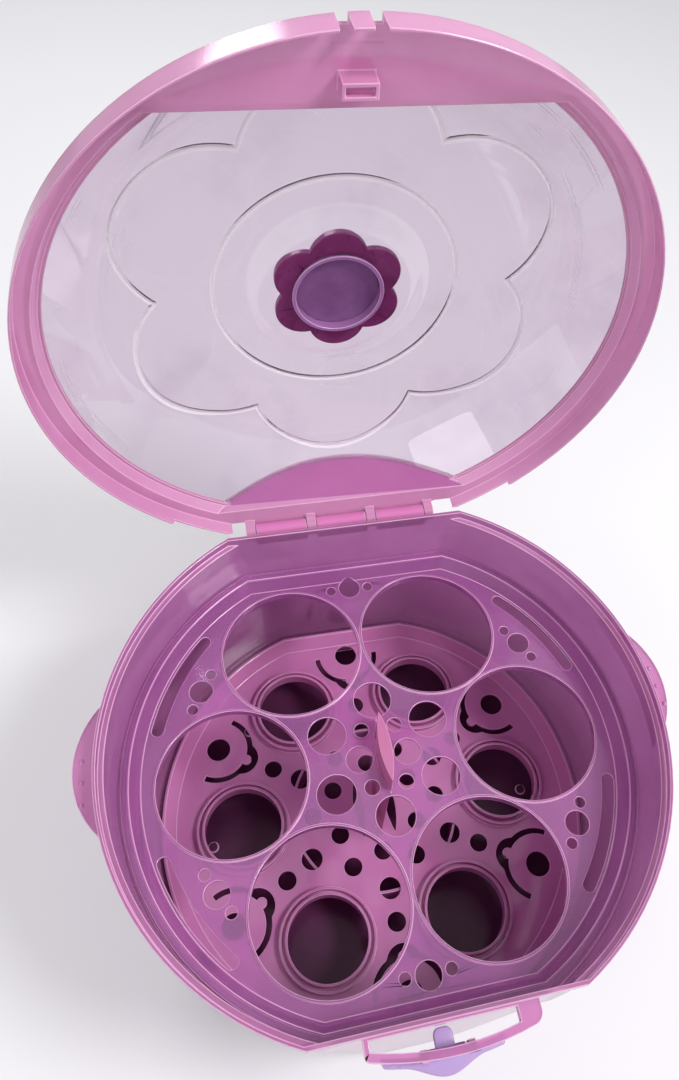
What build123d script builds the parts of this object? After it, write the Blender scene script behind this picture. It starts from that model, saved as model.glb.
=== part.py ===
from build123d import *
import os
from math import atan2, cos, radians, sin, tan

# Lengths are in millimetres and angles in degrees. The origin is the middle of the tub's base,
# +Z is up, the hinge is at the rear (+Y) and the latch at the front (-Y).

# The tub: a round bowl with one straight side at the rear and one at the front
RIM_RADIUS = 133.5
REAR_CUT = 16.3
FRONT_CUT = 12.5
RIM_HEIGHT = 148.0
WALL = 2.0
LIP_HEIGHT = 5.0
LIP_STEP = 2.0
UPPER_DRAFT = 1.5
LOWER_DRAFT = 3.5
LEDGE = 2.4
FLOOR_THICKNESS = 2.0
FLOOR_CORNER = 8.0
BOSS_RISE = 0.8
BOSS_RADIUS = 2.9
BOSS_INSET = 38.0
BOSS_COUNT = 8

# Side grips and the loop at the front of the tub
GRIP_LOBE_RADIUS = 45.0
GRIP_REACH = 10.5
GRIP_OFFSET = 5.0
GRIP_THICKNESS = 4.0
GRIP_DOT_RADIUS = 1.5
GRIP_DOT_SPACING = 10.0
GRIP_DOT_INSET = 4.2
LOOP_HALF_WIDTH = 35.5
LOOP_OPENING = 59.4
LOOP_BAR = 3.4
FRONT_X = -3.5
LOOP_DROP = 1.0
LOOP_THICKNESS = 4.5
LOOP_WEB = 1.1
LOOP_CORNERS = (2.5, 5.0)

# Clearances between pieces that lift, swing or turn
REST_GAP = 0.3
RACK_PLAY = 0.7
TRAY_PLAY = 0.9
LID_PLAY = 0.6
PIN_PLAY = 0.05
SIDE_PLAY = 0.35
HANDLE_PLAY = 0.55

# The bottle holes, on one circle shared by the rack and the tray
PITCH_INSET = 57.5
BOTTLE_COUNT = 6
BOTTLE_BRIDGE = 2.68
COLLAR = 1.2
COLLAR_RISE = 0.8
COLLAR_DROP = 4.0

# The upper rack
RACK_SPACING = 81.0
RACK_THICKNESS = 1.8
RACK_RISE = 7.0
RACK_FLANGE_RUN = 4.5
SLOT_INSET = 18.5
SLOT_WIDTH = 6.0
SLOT_SPAN = 27.0
CLUSTER_INSET = 32.5
CLUSTER_HOLE_RADIUS = 6.0
CLUSTER_SMALL_RADIUS = 2.7
CLUSTER_ANGLE = 6.0

# The rack's holes round its middle: circle and radius, as shares of the bottle holes' circle
INNER_LARGE_SHARE = (0.404, 0.129)
INNER_MEDIUM_SHARE = (0.163, 0.0895)
INNER_SMALL_SHARE = (0.229, 0.05)

# The lower tray
WATER_DEPTH = 22.0
TRAY_THICKNESS = 2.0
TRAY_RISE = 7.0
TRAY_RIM_RUN = 5.5
RIM_WALL = 1.6
SEAT_STEP = 15.26
SEAT_RING = 1.4
SEAT_GROOVE = 1.9
SEAT_INNER_RISE = 6.0
SEAT_OUTER_RISE = 4.5
SKIRT_RING_INSET = 27.5
SKIRT_RING_WALL = 1.5
DRAIN_HOLES = ((26.0, 5.1), (46.5, 5.9), (64.0, 5.1))
SEAT_LINE_HOLE = (36.5, 5.1)
HOLDER_INSET = 34.0
HOLDER_HOLE_RADIUS = 6.9
HOLDER_SHIELD_RADIUS = 17.0
HOLDER_SLOT_WIDTH = 3.2
HOLDER_BULGE_RADIUS = 9.6
HOLDER_BULGE_CENTRE = 15.2
HOLDER_KNOB_RADIUS = 3.0
FINGER_SLOT = (17.0, 2.9)
FINGER_SLOT_X = 9.2

# The lifting handle: a lens-shaped blade from the tray up through the rack
HANDLE_LENGTH = 37.0
HANDLE_WIDTH = 6.4
HANDLE_ABOVE_RACK = 14.0
HANDLE_FOOT = 1.8
HANDLE_FOOT_EDGE = 1.5

# The lid's frame
LID_WALL = 1.6
SKIRT_WALL = 1.0
SKIRT_DEPTH = 9.0
SHOULDER_WIDTH = 6.4
SEAT_RISE = 6.3
SEAT_RUN = 3.8
SEAT_WIDTH = 3.2
FRONT_PANEL_INSET = 13.0
REAR_PANEL_INSET = 7.2
REAR_OVERHANG = 2.2
HINGE_PLATE_OVERHANG = 3.8
HINGE_HOOD = 3.7
HINGE_CUT_HALF = 55.0
OPEN_ANGLE = 88.4
HINGE_RELIEF = 2.6
HINGE_RELIEF_INSET = 17.2
NOTCH_WIDTH = 4.0
NOTCH_DEPTH = 3.0
TAB_WIDTH = 6.6
PAD = (16.0, 8.6, 1.2)

# The lid's clear window
DOME_HEIGHT = 44.0
DOME_SHOULDER_RUN = 22.9
DOME_SHOULDER_HEIGHT = 38.0
DOME_ROUNDING = 25.0
WINDOW_WALL = 2.0
RIDGE_HEIGHT = 0.8
RIDGE_WIDTH = 1.6
RIDGE_CIRCLE_RADIUS = 56.6
PETAL_CENTRE = 60.7
PETAL_RADIUS = 42.3
PETAL_COUNT = 6
WELL_RADIUS = 34.0
WELL_DEPTH = 4.5

# The flower cap, its bezel and the bare badge plate
CAP_PETAL_CENTRE = 17.8
CAP_PETAL_RADIUS = 13.5
CAP_THICKNESS = 3.0
BEZEL_RADIUS = 21.3
BEZEL_SLEEVE_RADIUS = 20.5
BEZEL_WALL = 1.0
BEZEL_FLANGE = 1.2
BADGE_PLATE_THICKNESS = 1.6
BADGE_RECESS = 4.4

# The hinge
HINGE_X = -2.2
HINGE_OVERHANG = 5.3
HINGE_DROP = 4.0
LUG_WIDTH = 5.0
LUG_SPACING = 33.0
LUG_COUNT = 4
LUG_RADIUS = 4.4
KNUCKLE_RADIUS = 4.0
HINGE_PIN_RADIUS = 2.0

# The latch lever, and the block behind the lid's front edge
LATCH_AXIS_INSET = 2.5
LATCH_AXIS_DROP = 11.6
LATCH_PIN_RADIUS = 1.0
LATCH_HUB_RADIUS = 2.1
LATCH_HUB_LENGTH = 16.0
LATCH_PLATE = 2.4
LATCH_WIDTH = 51.0
LATCH_BAND = 3.6
LATCH_THUMB_RADIUS = 40.0
LATCH_THUMB_REACH = 7.9
LATCH_GAP = 0.4
TONGUE_WIDTH = 8.0
TONGUE_LENGTH = 8.7
TONGUE_THICKNESS = 2.2
EAR_THICKNESS = 2.5
CATCH_WIDTH = 12.0
CATCH_THICKNESS = 5.6
CATCH_DROP = 8.0
CATCH_GAP = 0.6
CATCH_RECESS = (9.6, 3.0, 3.0)

# Heights and radii worked out from the sizes above
REAR_FLAT = RIM_RADIUS - REAR_CUT
FRONT_FLAT = RIM_RADIUS - FRONT_CUT
PITCH_RADIUS = RIM_RADIUS - PITCH_INSET
BOTTLE_HOLE_RADIUS = (PITCH_RADIUS - BOTTLE_BRIDGE) / 2
SEAT_HOLE_RADIUS = BOTTLE_HOLE_RADIUS - SEAT_STEP
INNER_LARGE_CIRCLE, INNER_LARGE_RADIUS = (PITCH_RADIUS * share for share in INNER_LARGE_SHARE)
INNER_MEDIUM_CIRCLE, INNER_MEDIUM_RADIUS = (PITCH_RADIUS * share for share in INNER_MEDIUM_SHARE)
INNER_SMALL_CIRCLE, INNER_SMALL_RADIUS = (PITCH_RADIUS * share for share in INNER_SMALL_SHARE)
SKIRT_RING_RADIUS = PITCH_RADIUS - SKIRT_RING_INSET
TRAY_Z = FLOOR_THICKNESS + WATER_DEPTH + TRAY_THICKNESS
RACK_Z = TRAY_Z + RACK_SPACING
LEDGE_Z = RACK_Z + RACK_RISE - RACK_THICKNESS - REST_GAP
UPPER_IN_TOP = RIM_RADIUS - LIP_STEP - WALL
UPPER_IN_LEDGE = UPPER_IN_TOP - (RIM_HEIGHT - LIP_HEIGHT - LEDGE_Z) * tan(radians(UPPER_DRAFT))
LOWER_IN_TOP = UPPER_IN_LEDGE - LEDGE
LID_Z = RIM_HEIGHT + REST_GAP
SHELF_Z = LID_Z + LID_WALL
SEAT_Z = LID_Z + SEAT_RISE
HINGE_Z = RIM_HEIGHT - HINGE_DROP
LATCH_Z = RIM_HEIGHT - LATCH_AXIS_DROP
SKIRT_IN = RIM_RADIUS + LID_PLAY
SKIRT_OUT = SKIRT_IN + SKIRT_WALL
SHOULDER_IN = SKIRT_OUT - SHOULDER_WIDTH
FRONT_PANEL = FRONT_FLAT - FRONT_PANEL_INSET
REAR_PANEL = REAR_FLAT - REAR_PANEL_INSET
HINGE_Y = REAR_FLAT + HINGE_OVERHANG
LATCH_AXIS_Y = LATCH_AXIS_INSET - RIM_RADIUS
DOME_RADIUS = SHOULDER_IN + LID_WALL - SEAT_RUN + LID_WALL / 8
DOME_SHOULDER_RADIUS = DOME_RADIUS - DOME_SHOULDER_RUN
LOOP_Z = RIM_HEIGHT - LOOP_DROP - LOOP_THICKNESS
WELL_Z = RIM_HEIGHT + DOME_HEIGHT - WELL_DEPTH
BAR_IN = RIM_RADIUS - LOOP_BAR
BIG = 4 * RIM_RADIUS


def lower_radius(z):
    """Inner radius of the tub's lower wall at height z."""
    return LOWER_IN_TOP - (LEDGE_Z - z) * tan(radians(LOWER_DRAFT))


def slab(front, rear):
    """Everything between the planes y = -front and y = rear."""
    return Pos(0, (rear - front) / 2, 0) * Box(BIG, rear + front, 2 * BIG)


def turned(points):
    """Solid of revolution about Z through the closed outline of (radius, z) points."""
    return revolve(Plane.XZ * make_face(Polyline(*points, close=True)), Axis.Z)


def outline(radius, front, rear):
    """Round plate with a straight side at the front and one at the rear."""
    return Circle(radius) & Pos(0, (rear - front) / 2) * Rectangle(BIG, rear + front)


def prism(sketch, low, high):
    """The sketch made solid from height low to height high."""
    return extrude(Pos(0, 0, low) * sketch, high - low)


def drilled(x, y, radius, low, high):
    """Round hole or post from height low to height high."""
    return Pos(x, y, (low + high) / 2) * Cylinder(radius, high - low)


def across(x, y, z, radius, length):
    """Cylinder that lies along X with its middle at x, y, z."""
    return Pos(x, y, z) * Rot(0, 90, 0) * Cylinder(radius, length)


def block(x0, x1, y0, y1, z0, z1):
    """Box between two corners."""
    middle = Pos((x0 + x1) / 2, (y0 + y1) / 2, (z0 + z1) / 2)
    return middle * Box(x1 - x0, y1 - y0, z1 - z0)


def at(radius, angle):
    """Point of the plan at this radius and angle."""
    return radius * cos(radians(angle)), radius * sin(radians(angle))


def lens(length, width):
    """Pointed oval, length along Y and width along X."""
    half_length, half_width = length / 2, width / 2
    radius = (half_length**2 + half_width**2) / (2 * half_width)
    shift = radius - half_width
    return Pos(shift, 0) * Circle(radius) & Pos(-shift, 0) * Circle(radius)


def dish(z, thickness, rise, plate, top):
    """Flat plate whose rim slopes up and out; plate and top are outline sizes and z the plate's top."""
    inner_plate = [size - RIM_WALL for size in plate]
    inner_top = [size - RIM_WALL for size in top]
    outside = loft([Pos(0, 0, z - thickness) * outline(*plate), Pos(0, 0, z + rise) * outline(*top)])
    inside = loft([Pos(0, 0, z) * outline(*inner_plate), Pos(0, 0, z + rise) * outline(*inner_top)])
    return outside - inside


def hole_angles(start):
    """Angles of the bottle holes, or of the places between them."""
    return [start + 360 / BOTTLE_COUNT * turn for turn in range(BOTTLE_COUNT)]


def tub_skin(offset):
    """Outline of the tub's section, drawn in by offset from the outside, as (radius, z) points."""
    lip = RIM_RADIUS - (offset and WALL * 0.75)
    upper_top = UPPER_IN_TOP + WALL - offset
    upper_low = UPPER_IN_LEDGE + WALL - offset
    lower_top = LOWER_IN_TOP + WALL - offset
    bottom = offset and FLOOR_THICKNESS
    ledge = LEDGE_Z - WALL + offset
    corner = FLOOR_CORNER - offset
    lower_low = lower_radius(bottom + corner) + WALL - offset
    top = RIM_HEIGHT + offset
    lip_low = RIM_HEIGHT - LIP_HEIGHT
    return [
        (0, bottom), (lower_low - corner, bottom), (lower_low - corner * 0.29, bottom + corner * 0.29),
        (lower_low, bottom + corner), (lower_top, ledge), (upper_low, ledge),
        (upper_top, lip_low - LIP_STEP + offset), (lip, lip_low + (offset and 0.5)), (lip, top), (0, top),
    ]


def make_tub():
    outside = turned(tub_skin(0)) & slab(FRONT_FLAT, REAR_FLAT)
    inside = turned(tub_skin(WALL)) & slab(FRONT_FLAT - WALL, REAR_FLAT - WALL)
    tub = outside - inside
    for boss in range(BOSS_COUNT):
        x, y = at(RIM_RADIUS - BOSS_INSET, 360 / BOSS_COUNT * boss)
        tub += drilled(x, y, BOSS_RADIUS, FLOOR_THICKNESS / 2, FLOOR_THICKNESS + BOSS_RISE)
    keep_out = turned(tub_skin(WALL / 2))
    for side in (-1, 1):
        tub += make_grip(side) - keep_out
    return tub + make_loop() + make_knuckles()


def make_grip(side):
    """Lobe to hold the tub by, just under the lid's skirt, with three dots on it."""
    top = RIM_HEIGHT - SKIRT_DEPTH - 2 * REST_GAP
    centre = RIM_RADIUS + GRIP_REACH - GRIP_LOBE_RADIUS
    lobe = Pos(side * centre, GRIP_OFFSET) * Circle(GRIP_LOBE_RADIUS)
    grip = prism(lobe, top - GRIP_THICKNESS, top)
    grip &= block(*sorted((side * centre, side * BIG)), -BIG, BIG, 0, BIG)
    for step in (-1, 0, 1):
        x = side * (RIM_RADIUS + GRIP_REACH - GRIP_DOT_INSET)
        grip += Pos(x, step * GRIP_DOT_SPACING, top - GRIP_DOT_RADIUS / 2) * Sphere(GRIP_DOT_RADIUS)
    return grip


def make_loop():
    """Loop over the front of the tub, with the ears that hold the latch's pin."""
    outer = Circle(RIM_RADIUS) & Pos(0, -RIM_RADIUS) * Rectangle(2 * LOOP_HALF_WIDTH, 2 * LOOP_HALF_WIDTH)
    hole = Circle(BAR_IN) & Pos(FRONT_X, -RIM_RADIUS) * Rectangle(LOOP_OPENING, BIG)
    beyond = Pos(0, -FRONT_FLAT - LOOP_WEB - BIG / 2) * Rectangle(BIG, BIG)
    outside = Pos(0, -FRONT_FLAT + WALL / 2 - BIG / 2) * Rectangle(BIG, BIG)
    loop = prism((outer & outside) - (hole & beyond), LOOP_Z, LOOP_Z + LOOP_THICKNESS)
    corners = loop.edges().filter_by(Axis.Z).sort_by(Axis.X)[:2]
    loop = fillet(corners.sort_by(Axis.Y)[0], LOOP_CORNERS[0])
    corners = loop.edges().filter_by(Axis.Z).sort_by(Axis.X)[-2:]
    loop = fillet(corners.sort_by(Axis.Y)[0], LOOP_CORNERS[1])
    for side in (-1, 1):
        middle = FRONT_X + side * (LATCH_HUB_LENGTH / 2 + SIDE_PLAY + EAR_THICKNESS / 2)
        loop += across(middle, LATCH_AXIS_Y, LATCH_Z, LATCH_HUB_RADIUS, EAR_THICKNESS)
        loop += block(
            middle - EAR_THICKNESS / 2, middle + EAR_THICKNESS / 2,
            LATCH_AXIS_Y - LATCH_HUB_RADIUS, LATCH_AXIS_Y + LATCH_HUB_RADIUS,
            LATCH_Z, LOOP_Z + LOOP_THICKNESS / 2,
        )
    return loop - across(FRONT_X, LATCH_AXIS_Y, LATCH_Z, LATCH_PIN_RADIUS + PIN_PLAY, LOOP_OPENING)


def lug_positions():
    """Places along X of the lid's hinge lugs."""
    return [HINGE_X + LUG_SPACING * (index - (LUG_COUNT - 1) / 2) for index in range(LUG_COUNT)]


def make_knuckles():
    """The tub's half of the hinge: a barrel between each two lugs, on a web from the rear wall."""
    lugs = lug_positions()
    length = LUG_SPACING - LUG_WIDTH - 2 * SIDE_PLAY
    barrels = None
    for left, right in zip(lugs, lugs[1:]):
        middle = (left + right) / 2
        barrel = across(middle, HINGE_Y, HINGE_Z, KNUCKLE_RADIUS, length)
        barrel += block(
            middle - length / 2, middle + length / 2, REAR_FLAT - WALL / 2, HINGE_Y,
            HINGE_Z - KNUCKLE_RADIUS, HINGE_Z,
        )
        barrel -= across(middle, HINGE_Y, HINGE_Z, HINGE_PIN_RADIUS + PIN_PLAY, length)
        barrels = barrel if barrels is None else barrels + barrel
    return barrels


def make_hinge_pin():
    length = LUG_SPACING * (LUG_COUNT - 1) + LUG_WIDTH
    return across(HINGE_X, HINGE_Y, HINGE_Z, HINGE_PIN_RADIUS, length)


def make_latch_pin():
    length = LATCH_HUB_LENGTH + 2 * (SIDE_PLAY + EAR_THICKNESS)
    return across(FRONT_X, LATCH_AXIS_Y, LATCH_Z, LATCH_PIN_RADIUS, length)


def make_rack():
    """Upper rack: six bottle holes, slots and small holes, hung on the tub's ledge by its lip."""
    rear = REAR_FLAT - WALL - TRAY_PLAY
    front = FRONT_FLAT - WALL - TRAY_PLAY
    lip = (UPPER_IN_LEDGE - RACK_PLAY, front, rear)
    top = (LOWER_IN_TOP - RACK_PLAY, front - LEDGE, rear - LEDGE)
    plate = tuple(size - RACK_FLANGE_RUN for size in top)
    rack = dish(RACK_Z, RACK_THICKNESS, RACK_RISE, plate, top)
    rim_top = RACK_Z + RACK_RISE
    ring = outline(*lip) - outline(*(size - RIM_WALL for size in top))
    rack += prism(ring, rim_top - RACK_THICKNESS, rim_top)
    low, high = RACK_Z - RACK_THICKNESS - COLLAR_DROP, RACK_Z + 2 * COLLAR_RISE
    for angle in hole_angles(0):
        x, y = at(PITCH_RADIUS, angle)
        collar_low, collar_high = RACK_Z - COLLAR_DROP, RACK_Z + COLLAR_RISE
        rack += drilled(x, y, BOTTLE_HOLE_RADIUS + COLLAR, collar_low, collar_high)
    for angle in hole_angles(0):
        x, y = at(PITCH_RADIUS, angle)
        rack -= drilled(x, y, BOTTLE_HOLE_RADIUS, low, high)
    for angle in hole_angles(360 / BOTTLE_COUNT / 2):
        rack -= drilled(*at(INNER_LARGE_CIRCLE, angle), INNER_LARGE_RADIUS, low, high)
        rack -= drilled(*at(RIM_RADIUS - CLUSTER_INSET, angle), CLUSTER_HOLE_RADIUS, low, high)
        for side in (-CLUSTER_ANGLE, CLUSTER_ANGLE):
            rack -= drilled(*at(RIM_RADIUS - CLUSTER_INSET, angle + side), CLUSTER_SMALL_RADIUS, low, high)
    for side in (0, 180):
        rack -= drilled(*at(INNER_MEDIUM_CIRCLE, side), INNER_MEDIUM_RADIUS, low, high)
        for angle in (-30, 30):
            arc = CenterArc((0, 0), RIM_RADIUS - SLOT_INSET, side + angle - SLOT_SPAN / 2, SLOT_SPAN)
            rack -= prism(SlotArc(arc, SLOT_WIDTH), low, high)
        for angle in (-60, 60):
            rack -= drilled(*at(INNER_SMALL_CIRCLE, side + angle), INNER_SMALL_RADIUS, low, high)
    opening = lens(HANDLE_LENGTH + 2 * HANDLE_PLAY, HANDLE_WIDTH + 2 * HANDLE_PLAY)
    return rack - prism(opening, low, high)


def holder_slot():
    """Curved slot with a bulge, drawn about the origin with its bulge towards -X."""
    shield = Circle(HOLDER_SHIELD_RADIUS)
    band = Circle(HOLDER_SHIELD_RADIUS + HOLDER_SLOT_WIDTH) & Pos(-BIG / 2, 0) * Rectangle(BIG, BIG)
    bulge = Pos(-HOLDER_BULGE_CENTRE, 0) * Circle(HOLDER_BULGE_RADIUS)
    knob = Pos(-HOLDER_SHIELD_RADIUS - HOLDER_KNOB_RADIUS / 3, 0) * Circle(HOLDER_KNOB_RADIUS)
    return (band + bulge) - shield - knob


def make_tray():
    """Lower tray: ring seats for the bottles' mouths, holders with curved slots, and drain holes."""
    top = (
        lower_radius(TRAY_Z + TRAY_RISE) - TRAY_PLAY,
        FRONT_FLAT - WALL - TRAY_PLAY,
        REAR_FLAT - WALL - TRAY_PLAY,
    )
    plate = tuple(size - TRAY_RIM_RUN for size in top)
    tray = dish(TRAY_Z, TRAY_THICKNESS, TRAY_RISE, plate, top)
    under = TRAY_Z - TRAY_THICKNESS
    ring = Circle(SKIRT_RING_RADIUS) - Circle(SKIRT_RING_RADIUS - SKIRT_RING_WALL)
    tray += prism(ring, FLOOR_THICKNESS + REST_GAP, under + TRAY_THICKNESS / 2)
    inner = SEAT_HOLE_RADIUS + SEAT_RING
    outer = inner + SEAT_GROOVE + SEAT_RING
    seat = Circle(outer) - Circle(outer - SEAT_RING)
    neck = Circle(inner) - Circle(SEAT_HOLE_RADIUS)
    low, high = under - TRAY_THICKNESS, TRAY_Z + SEAT_INNER_RISE + TRAY_THICKNESS
    for angle in hole_angles(0):
        x, y = at(PITCH_RADIUS, angle)
        tray += Pos(x, y) * prism(seat, under + TRAY_THICKNESS / 2, TRAY_Z + SEAT_OUTER_RISE)
        tray += Pos(x, y) * prism(neck, under + TRAY_THICKNESS / 2, TRAY_Z + SEAT_INNER_RISE)
        tray -= drilled(x, y, SEAT_HOLE_RADIUS, low, high)
        tray -= drilled(*at(SEAT_LINE_HOLE[0], angle), SEAT_LINE_HOLE[1], under, TRAY_Z)
    slot = prism(holder_slot(), under, TRAY_Z)
    for angle in hole_angles(360 / BOTTLE_COUNT / 2):
        for circle, radius in DRAIN_HOLES:
            tray -= drilled(*at(circle, angle), radius, under, TRAY_Z)
        x, y = at(RIM_RADIUS - HOLDER_INSET, angle)
        tray -= drilled(x, y, HOLDER_HOLE_RADIUS, under, TRAY_Z)
        tray -= Pos(x, y) * Rot(0, 0, angle) * slot
    for side in (-1, 1):
        finger = lens(2 * FINGER_SLOT[0], 2 * FINGER_SLOT[1])
        tray -= Pos(side * FINGER_SLOT_X, 0) * prism(finger, under, TRAY_Z)
    socket = lens(HANDLE_LENGTH + 2 * PIN_PLAY, HANDLE_WIDTH + 2 * PIN_PLAY)
    return tray - prism(socket, under - TRAY_THICKNESS, TRAY_Z + TRAY_THICKNESS)


def make_lift_handle():
    """Blade that stands in the tray's middle and comes up through the rack."""
    under = TRAY_Z - TRAY_THICKNESS
    top = RACK_Z + HANDLE_ABOVE_RACK
    blade = prism(lens(HANDLE_LENGTH, HANDLE_WIDTH), under - HANDLE_FOOT, top)
    foot = lens(HANDLE_LENGTH + 2 * HANDLE_FOOT_EDGE, HANDLE_WIDTH + 2 * HANDLE_FOOT_EDGE)
    blade += prism(foot, under - HANDLE_FOOT, under)
    return blade


def dome(inset):
    """Solid dome of the lid, drawn in by inset from its outer skin; it stands on the window's seat."""
    run = DOME_RADIUS - DOME_SHOULDER_RADIUS
    rise = RIM_HEIGHT + DOME_SHOULDER_HEIGHT - SEAT_Z
    slope = atan2(rise, run)
    base = DOME_RADIUS - inset / sin(slope)
    shoulder = DOME_SHOULDER_RADIUS - inset / sin(slope) + inset / tan(slope)
    shoulder_z = RIM_HEIGHT + DOME_SHOULDER_HEIGHT - inset
    top_z = RIM_HEIGHT + DOME_HEIGHT - inset
    halfway = (shoulder / 2, top_z - (top_z - shoulder_z) / 4)
    section = Polyline((0, top_z), (0, SEAT_Z), (base, SEAT_Z), (shoulder, shoulder_z))
    section += ThreePointArc((shoulder, shoulder_z), halfway, (0, top_z))
    face = make_face(section)
    face = fillet(face.vertices().sort_by(Axis.X)[-2], DOME_ROUNDING - inset)
    return revolve(Plane.XZ * face, Axis.Z)


def window_ridges():
    """Raised lines on the window: one circle, and a flower of six petals round it."""
    half = RIDGE_WIDTH / 2
    lines = Circle(RIDGE_CIRCLE_RADIUS + half) - Circle(RIDGE_CIRCLE_RADIUS - half)
    middle = Circle((PETAL_CENTRE + RIDGE_CIRCLE_RADIUS) / 2 + PETAL_RADIUS / 4)
    wide, narrow = middle, middle
    for petal in range(PETAL_COUNT):
        place = Pos(*at(PETAL_CENTRE, 30 + 360 / PETAL_COUNT * petal))
        wide += place * Circle(PETAL_RADIUS + half)
        narrow += place * Circle(PETAL_RADIUS - half)
    return lines + (wide - narrow)


def make_window():
    """Clear dome between the frame's front and rear panels, with a well for the flower cap."""
    top = RIM_HEIGHT + 2 * DOME_HEIGHT
    shell = dome(0) - drilled(0, 0, WELL_RADIUS, WELL_Z, top)
    shell -= dome(WINDOW_WALL) - drilled(0, 0, WELL_RADIUS + WINDOW_WALL, WELL_Z - WINDOW_WALL, top)
    raised = prism(window_ridges(), SEAT_Z, top)
    shell += raised & (dome(-RIDGE_HEIGHT) - dome(WINDOW_WALL / 2))
    shell &= slab(FRONT_PANEL - LID_WALL, REAR_PANEL - LID_WALL)
    return shell - drilled(0, 0, BEZEL_SLEEVE_RADIUS + PIN_PLAY, RIM_HEIGHT, top)


def make_lid_frame():
    """Ring that fits over the tub's rim, with a shelf, two upright panels, the catch and hinge lugs."""
    skirt_low = RIM_HEIGHT - SKIRT_DEPTH
    ring = turned([
        (SKIRT_IN, skirt_low), (SKIRT_OUT, skirt_low), (SKIRT_OUT, SHELF_Z), (SHOULDER_IN, SHELF_Z),
        (SHOULDER_IN, LID_Z), (SKIRT_IN, LID_Z),
    ])
    frame = ring & slab(BIG / 2, REAR_FLAT + REAR_OVERHANG)
    frame -= block(-HINGE_CUT_HALF, HINGE_CUT_HALF, 0, BIG, 0, LID_Z)
    frame -= block(-BIG, BIG, REAR_FLAT - HINGE_RELIEF_INSET, BIG, 0, skirt_low + HINGE_RELIEF)
    seat_out = SHOULDER_IN + LID_WALL - SEAT_RUN + LID_WALL / 2
    seat_wall = turned([
        (SHOULDER_IN + LID_WALL, LID_Z), (SHOULDER_IN + LID_WALL, SHELF_Z), (seat_out, SEAT_Z),
        (seat_out - SEAT_WIDTH, SEAT_Z), (seat_out - SEAT_WIDTH, SEAT_Z - LID_WALL),
        (seat_out - LID_WALL, SEAT_Z - LID_WALL), (SHOULDER_IN - LID_WALL / 2, LID_Z),
    ])
    frame += seat_wall & slab(FRONT_PANEL, REAR_PANEL)
    plate = Circle(SHOULDER_IN + LID_WALL)
    shelf = plate & Pos(0, -FRONT_PANEL + LID_WALL - BIG / 2) * Rectangle(BIG, BIG)
    frame += prism(shelf, LID_Z, SHELF_Z)
    inner, outer = REAR_PANEL - LID_WALL, REAR_FLAT + HINGE_PLATE_OVERHANG
    rear = plate & Pos(0, (inner + outer) / 2) * Rectangle(BIG, outer - inner)
    frame += prism(rear, LID_Z, SHELF_Z)
    half = (LUG_SPACING * (LUG_COUNT - 1) + LUG_WIDTH) / 2
    frame += block(HINGE_X - half, HINGE_X + half, REAR_FLAT, HINGE_Y + HINGE_HOOD, LID_Z, SHELF_Z)
    body = dome(0) + prism(Circle(DOME_RADIUS), LID_Z, SEAT_Z)
    frame += body & slab(FRONT_PANEL, LID_WALL - FRONT_PANEL)
    frame += body & slab(LID_WALL - REAR_PANEL, REAR_PANEL)
    frame += make_catch()
    for x in lug_positions():
        frame += make_lug(x)
    for side in (-1, 1):
        middle = FRONT_X + side * (TAB_WIDTH + NOTCH_WIDTH) / 2
        notch = (middle - NOTCH_WIDTH / 2, middle + NOTCH_WIDTH / 2)
        frame -= block(*notch, -BIG, -SKIRT_OUT + NOTCH_DEPTH, 0, BIG)
    width, depth, height = PAD
    front = -FRONT_PANEL - LID_WALL / 2 - depth
    pad = block(FRONT_X - width / 2, FRONT_X + width / 2, front - depth, front, LID_Z, SHELF_Z + height)
    return frame + pad


def make_catch():
    """Block under the lid's shelf that drops in behind the tub's front wall, hollow from below."""
    outer = -FRONT_FLAT + WALL + CATCH_GAP
    low = LID_Z - CATCH_DROP
    left, right = FRONT_X - CATCH_WIDTH / 2, FRONT_X + CATCH_WIDTH / 2
    catch = block(left, right, outer, outer + CATCH_THICKNESS, low, SHELF_Z)
    width, depth, height = CATCH_RECESS
    middle = outer + CATCH_THICKNESS / 2
    catch -= block(
        FRONT_X - width / 2, FRONT_X + width / 2, middle - depth / 2, middle + depth / 2,
        low - 1, low + height,
    )
    return catch


def make_lug(x):
    """One ear of the lid's half of the hinge."""
    low, high = x - LUG_WIDTH / 2, x + LUG_WIDTH / 2
    lug = across(x, HINGE_Y, HINGE_Z, LUG_RADIUS, LUG_WIDTH)
    lug += block(low, high, HINGE_Y - LUG_RADIUS, HINGE_Y + LUG_RADIUS, HINGE_Z, SHELF_Z)
    return lug - across(x, HINGE_Y, HINGE_Z, HINGE_PIN_RADIUS + PIN_PLAY, LUG_WIDTH)


def make_flower_cap():
    """Six-petalled cap in the window's well, round the bezel's sleeve."""
    flower = Circle(CAP_PETAL_RADIUS)
    for petal in range(PETAL_COUNT):
        flower += Pos(*at(CAP_PETAL_CENTRE, 30 + 360 / PETAL_COUNT * petal)) * Circle(CAP_PETAL_RADIUS)
    flower -= Circle(BEZEL_SLEEVE_RADIUS + PIN_PLAY)
    return prism(flower, WELL_Z, WELL_Z + CAP_THICKNESS)


def make_bezel():
    """Sleeve through the window and the cap, with a flange at each end."""
    under = WELL_Z - WINDOW_WALL
    top = WELL_Z + CAP_THICKNESS
    bezel = prism(Circle(BEZEL_SLEEVE_RADIUS), under - BEZEL_FLANGE, top + BEZEL_FLANGE)
    bezel += prism(Circle(BEZEL_RADIUS), under - BEZEL_FLANGE, under)
    bezel += prism(Circle(BEZEL_RADIUS), top, top + BEZEL_FLANGE)
    bore = BEZEL_SLEEVE_RADIUS - BEZEL_WALL
    return bezel - drilled(0, 0, bore, RIM_HEIGHT, RIM_HEIGHT + 2 * DOME_HEIGHT)


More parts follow.
